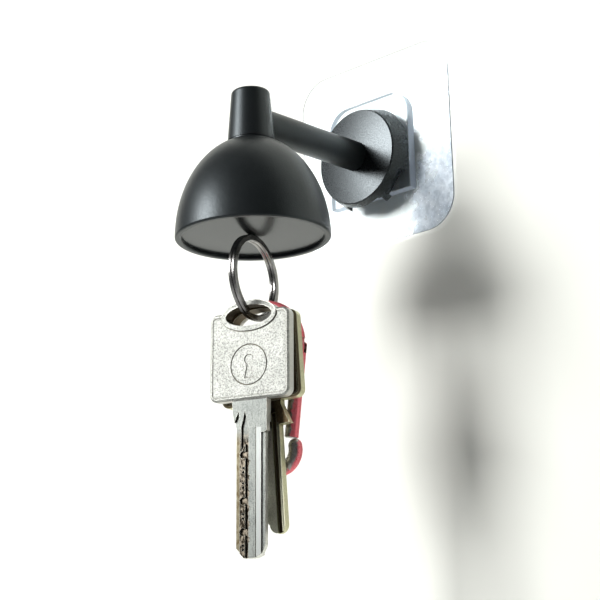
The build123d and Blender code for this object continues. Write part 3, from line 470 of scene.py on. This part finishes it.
def clip_red():
    """Red lacquer on steel, scuffed through to steel round the inside of the loop and most of all on the
    hook; the grey also covers the gate's left side as painted shade.
    """
    material, tree, shader = new_material("clip_red")
    where = place(tree, *CLIP)
    across, _, up = parts_of(tree, where)
    scuff = noise(tree, where, 1.8, 6, 0.7)
    fine = noise(tree, where, 0.3, 4)

    (top_x, top_z), (low_x, low_z) = CLIP_TOP_CENTRE, CLIP_LOW_CENTRE
    middle = spread(tree, up, low_x, top_x, low_z, top_z)
    level = spread(tree, up, low_z, top_z, low_z, top_z)
    inward = tree.nodes.new("ShaderNodeCombineXYZ")
    feed(tree, inward.inputs["X"], maths(tree, "SUBTRACT", middle, across))
    feed(tree, inward.inputs["Z"], maths(tree, "SUBTRACT", level, up))
    turn = tree.nodes.new("ShaderNodeVectorRotate")
    turn.rotation_type = "Z_AXIS"
    turn.inputs["Angle"].default_value = math.radians(RING_AZIMUTH)
    feed(tree, turn.inputs["Vector"], vector_maths(tree, "NORMALIZE", inward.outputs["Vector"]))
    rubbed_and_painted_light = facing(tree, turn.outputs["Vector"])
    rubbed_and_painted_light = maths(tree, "ADD", rubbed_and_painted_light, spread(tree, scuff, -0.25, 0.25, 0.3, 0.7))
    rubbed_and_painted_light = maths(tree, "ADD", rubbed_and_painted_light, spread(tree, up, 0.45, 0, *HOOK_TOP))
    # Painted shade: the gate's left side, and by the low threshold below most of its left half, go to grey
    # steel where the keys' shadow falls; elsewhere the grey is rubbing.
    rubbed_and_painted_light = maths(tree, "ADD", rubbed_and_painted_light, spread(tree, across, 0, 0.4, *GATE_LEFT))
    bare_and_shaded = spread(tree, rubbed_and_painted_light, 0, 1, 0.0, 0.2)

    red = ramp(tree, fine, (0.3, (0.98, 0.10, 0.14)), (0.7, (1.0, 0.32, 0.36)))
    steel = ramp(tree, scuff, (0.35, (0.16, 0.145, 0.13)), (0.65, (0.52, 0.50, 0.47)))
    feed(tree, shader.inputs["Base Color"], mix(tree, bare_and_shaded, red, steel))
    feed(tree, shader.inputs["Metallic"], spread(tree, bare_and_shaded, 0.5, 1.0))
    feed(tree, shader.inputs["Roughness"], spread(tree, fine, 0.24, 0.42, 0.3, 0.7))
    bump(tree, shader, (bare_and_shaded, 0.05, 0.3), (fine, 0.02, 0.3))
    return material


def gel():
    """Clear sticky gel with the cloudy patches that trapped air leaves towards its lower right corner."""
    material, tree, shader = new_material("adhesive_gel")
    where = place(tree)
    across, _, up = parts_of(tree, where)
    patches = noise(tree, where, 5.0, 5, 0.6)
    rightward, upward = maths(tree, "MULTIPLY", across, 0.03), maths(tree, "MULTIPLY", up, 0.012)
    corner = maths(tree, "SUBTRACT", rightward, upward)
    cloudy = maths(tree, "ADD", patches, maths(tree, "SUBTRACT", corner, 0.62))
    cover = spread(tree, cloudy, 0, 0.85, 0.42, 0.72, soft=True)
    veins = noise(tree, where, 1.8, 5, 0.7)
    milk = ramp(tree, veins, (0.38, (0.42, 0.47, 0.51)), (0.62, (0.80, 0.84, 0.87)))
    feed(tree, shader.inputs["Base Color"], mix(tree, cover, (0.96, 0.98, 1.0), milk))
    feed(tree, shader.inputs["Transmission Weight"], spread(tree, cover, 1.0, 0.0))
    feed(tree, shader.inputs["Roughness"], spread(tree, cover, 0.04, 0.45))
    shader.inputs["Specular IOR Level"].default_value = 0.0
    shader.inputs["IOR"].default_value = 1.04
    bump(tree, shader, (patches, 0.1, 0.3))
    return material


# Clear pieces: tint, edge tint (painted shade on the film's edge, painted bluish-grey sheen on the dock's
# edge), roughness, specular level, index of refraction and ripple.
FILM_LOOK = ((0.88, 0.94, 1.0), (0.14, 0.15, 0.17), 0.06, 0.0, 1.04, 0.1)
DOCK_LOOK = ((0.86, 0.92, 0.98), (0.56, 0.63, 0.72), 0.03, 0.5, 1.2, 0.2)

# One material for each slot of the record; plated ones by dark and light colour, roughness and scratches.
MATERIALS = {
    "gel": gel(),
    "film": clear_plastic("film", *FILM_LOOK),
    "clear_plastic": clear_plastic("clear_plastic", *DOCK_LOOK),
    "black_plastic": black_plastic("black_plastic", 0.39, 0.5),
    "plate_plastic": plate_plastic(),
    "zinc_steel": plated_metal("zinc_steel", (0.55, 0.56, 0.58), (0.72, 0.73, 0.74), 0.28, 0.3),
    "magnet_nickel": plated_metal("magnet_nickel", (0.68, 0.68, 0.66), (0.80, 0.80, 0.78), 0.10, 0.1),
    "ring_steel": plated_metal("ring_steel", (0.16, 0.155, 0.15), (0.46, 0.45, 0.44), 0.20, 0.3),
    "key_plate": key_plate(),
    "key_brass": key_brass(),
    "clip_red": clip_red(),
}
BASE_PLASTIC = black_plastic("base_plastic", 0.27, 0.1)

PAD_SIDE = 60.0
PAD_CORNER = 10.0
GEL_INSET = 0.3             # how far the gel stops short of the film's edge
SKIN_GAP = 0.02             # clear surfaces that touched would render black
SHEET_EDGE = 0.08


def round_square(side, corner, steps=10):
    """Points round a square with round corners, centred on the origin."""
    points = []
    reach = side / 2 - corner
    for quarter, (x, z) in enumerate(((reach, reach), (-reach, reach), (-reach, -reach), (reach, -reach))):
        for step in range(steps + 1):
            angle = math.radians(90 * quarter + 90 * step / steps)
            points.append((x + corner * math.cos(angle), z + corner * math.sin(angle)))
    return points


def rounded_sheet(name, side, corner, back, front, material):
    """A flat sheet with round corners and softened edges, between two distances from the wall in mm."""
    rows = [(back, SHEET_EDGE), (back + SHEET_EDGE, 0.0), (front - SHEET_EDGE, 0.0), (front, SHEET_EDGE)]
    mesh = bmesh.new()
    loops = []
    for depth, inset in rows:
        outline = round_square(side - 2 * inset, corner - inset)
        loops.append([mesh.verts.new((x * MM, -depth * MM, z * MM)) for x, z in outline])
    for lower, upper in zip(loops, loops[1:]):
        for index in range(len(lower)):
            after = (index + 1) % len(lower)
            mesh.faces.new((lower[index], lower[after], upper[after], upper[index]))
    mesh.faces.new(reversed(loops[0]))
    mesh.faces.new(loops[-1])
    bmesh.ops.recalc_face_normals(mesh, faces=mesh.faces)
    data = bpy.data.meshes.new(name)
    mesh.to_mesh(data)
    mesh.free()
    data.materials.append(material)
    piece = bpy.data.objects.new(name, data)
    bpy.context.scene.collection.objects.link(piece)
    return piece


def make_pad():
    """The gel and the film on it, a hair apart so that each keeps its own surface."""
    gel_front = -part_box("adhesive_gel")[0][1] / MM
    film_front = -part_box("adhesive_film")[0][1] / MM
    gel_side, gel_corner = PAD_SIDE - 2 * GEL_INSET, PAD_CORNER - GEL_INSET
    gel_sheet = rounded_sheet(
        "pad_gel", gel_side, gel_corner, SKIN_GAP, gel_front - SKIN_GAP, MATERIALS["gel"]
    )
    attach(gel_sheet, "wall_mount")
    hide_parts("adhesive_gel")
    film_sheet = rounded_sheet(
        "pad_film", PAD_SIDE, PAD_CORNER, gel_front + SKIN_GAP, film_front - SKIN_GAP, MATERIALS["film"]
    )
    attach(film_sheet, "wall_mount")
    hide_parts("adhesive_film")
    gel_sheet.visible_shadow = False
    film_sheet.visible_shadow = False


def paint_nodes():
    """Gives every CAD node the material of its slot in the record."""
    for row in frame["record"]["subparts"]:
        node = frame["nodes"][row["node"]]
        node.data.materials.clear()
        node.data.materials.append(MATERIALS[row["material_slot"]])
    frame["nodes"]["base_shell"].data.materials[0] = BASE_PLASTIC
    frame["nodes"]["clear_dock"].visible_shadow = False


# --- Stage -----------------------------------------------------------------------------------------
WALL_DEPTH = 0.0002         # just behind the pad, in metres
FLOOR_HEIGHT = -0.6


def flat_sheet(name, corners, material):
    """A four-cornered stage surface."""
    data = bpy.data.meshes.new(name)
    data.from_pydata(corners, [], [(0, 1, 2, 3)])
    data.materials.append(material)
    sheet = bpy.data.objects.new(name, data)
    bpy.context.scene.collection.objects.link(sheet)
    return sheet


def wall_material():
    """Matt white paint on the room side; the side away from the room lets everything through."""
    material, tree, shader = new_material("wall_paint")
    shader.inputs["Base Color"].default_value = (0.93, 0.94, 0.87, 1)
    shader.inputs["Roughness"].default_value = 0.85
    bump(tree, shader, (noise(tree, place(tree), 1.2, 4), 0.05, 0.1))
    geometry = tree.nodes.new("ShaderNodeNewGeometry")
    clear = tree.nodes.new("ShaderNodeBsdfTransparent")
    choose = tree.nodes.new("ShaderNodeMixShader")
    tree.links.new(geometry.outputs["Backfacing"], choose.inputs["Fac"])
    tree.links.new(shader.outputs["BSDF"], choose.inputs[1])
    tree.links.new(clear.outputs["BSDF"], choose.inputs[2])
    tree.links.new(choose.outputs["Shader"], tree.nodes["Material Output"].inputs["Surface"])
    return material


def floor_material():
    """Pale matt floor."""
    material, tree, shader = new_material("floor_paint")
    tint = ramp(tree, noise(tree, place(tree), 200, 3), (0.3, (0.84, 0.84, 0.84)), (0.7, (0.88, 0.88, 0.88)))
    tree.links.new(tint, shader.inputs["Base Color"])
    shader.inputs["Roughness"].default_value = 0.8
    return material


def make_stage():
    """A white wall just behind the pad and a pale floor well below."""
    corners = [(-3, WALL_DEPTH, -1.2), (3, WALL_DEPTH, -1.2), (3, WALL_DEPTH, 2.5), (-3, WALL_DEPTH, 2.5)]
    wall = flat_sheet("wall", corners, wall_material())
    wall.visible_shadow = False
    wall.visible_diffuse = False
    corners = [(-3, -3, FLOOR_HEIGHT), (3, -3, FLOOR_HEIGHT), (3, 3, FLOOR_HEIGHT), (-3, 3, FLOOR_HEIGHT)]
    flat_sheet("floor", corners, floor_material())


# --- Light -----------------------------------------------------------------------------------------
SCENE_CENTRE = (0, -0.045, -0.03)


def area_light(name, direction, distance, size, irradiance, colour=(1, 1, 1)):
    """A soft box that shines on the object from a direction, with a given strength at the object."""
    data = bpy.data.lights.new(name, "AREA")
    data.shape = "RECTANGLE"
    data.size, data.size_y = size
    data.energy = irradiance * math.pi * distance ** 2
    data.color = colour
    light = bpy.data.objects.new(name, data)
    bpy.context.scene.collection.objects.link(light)
    way = Vector(direction).normalized()
    light.location = Vector(SCENE_CENTRE) + way * distance
    light.rotation_euler = way.to_track_quat("Z", "Y").to_euler()
    return light


def make_world():
    """Pale to the eye, and a dimmer, slightly uneven room in what it lights and mirrors."""
    world = bpy.data.worlds.new("world")
    bpy.context.scene.world = world
    world.use_nodes = True
    tree = world.node_tree
    coordinates = tree.nodes.new("ShaderNodeTexCoord")
    height = tree.nodes.new("ShaderNodeSeparateXYZ")
    tree.links.new(coordinates.outputs["Generated"], height.inputs["Vector"])
    room = ramp(tree, spread(tree, height.outputs["Z"], 0, 1, -1, 1),
                (0.0, (0.08, 0.082, 0.08)), (0.45, (0.100, 0.105, 0.105)), (1.0, (0.175, 0.18, 0.185)))
    path = tree.nodes.new("ShaderNodeLightPath")
    shown = mix(tree, path.outputs["Is Camera Ray"], room, (0.96, 0.965, 0.97))
    tree.links.new(shown, tree.nodes["Background"].inputs["Color"])


def make_light():
    """A main soft box high on the left, a weaker one behind, and a dim room all round."""
    area_light("main_light", (-0.44, -0.83, 0.34), 0.9, (0.36, 0.36), 4.3)
    area_light("back_light", (-0.5, 0.8, 0.35), 1.0, (0.6, 0.6), 1.2)
    make_world()
    bpy.context.scene.view_settings.view_transform = "Standard"


make_camera()
paint_nodes()
make_pad()
make_stage()
make_light()
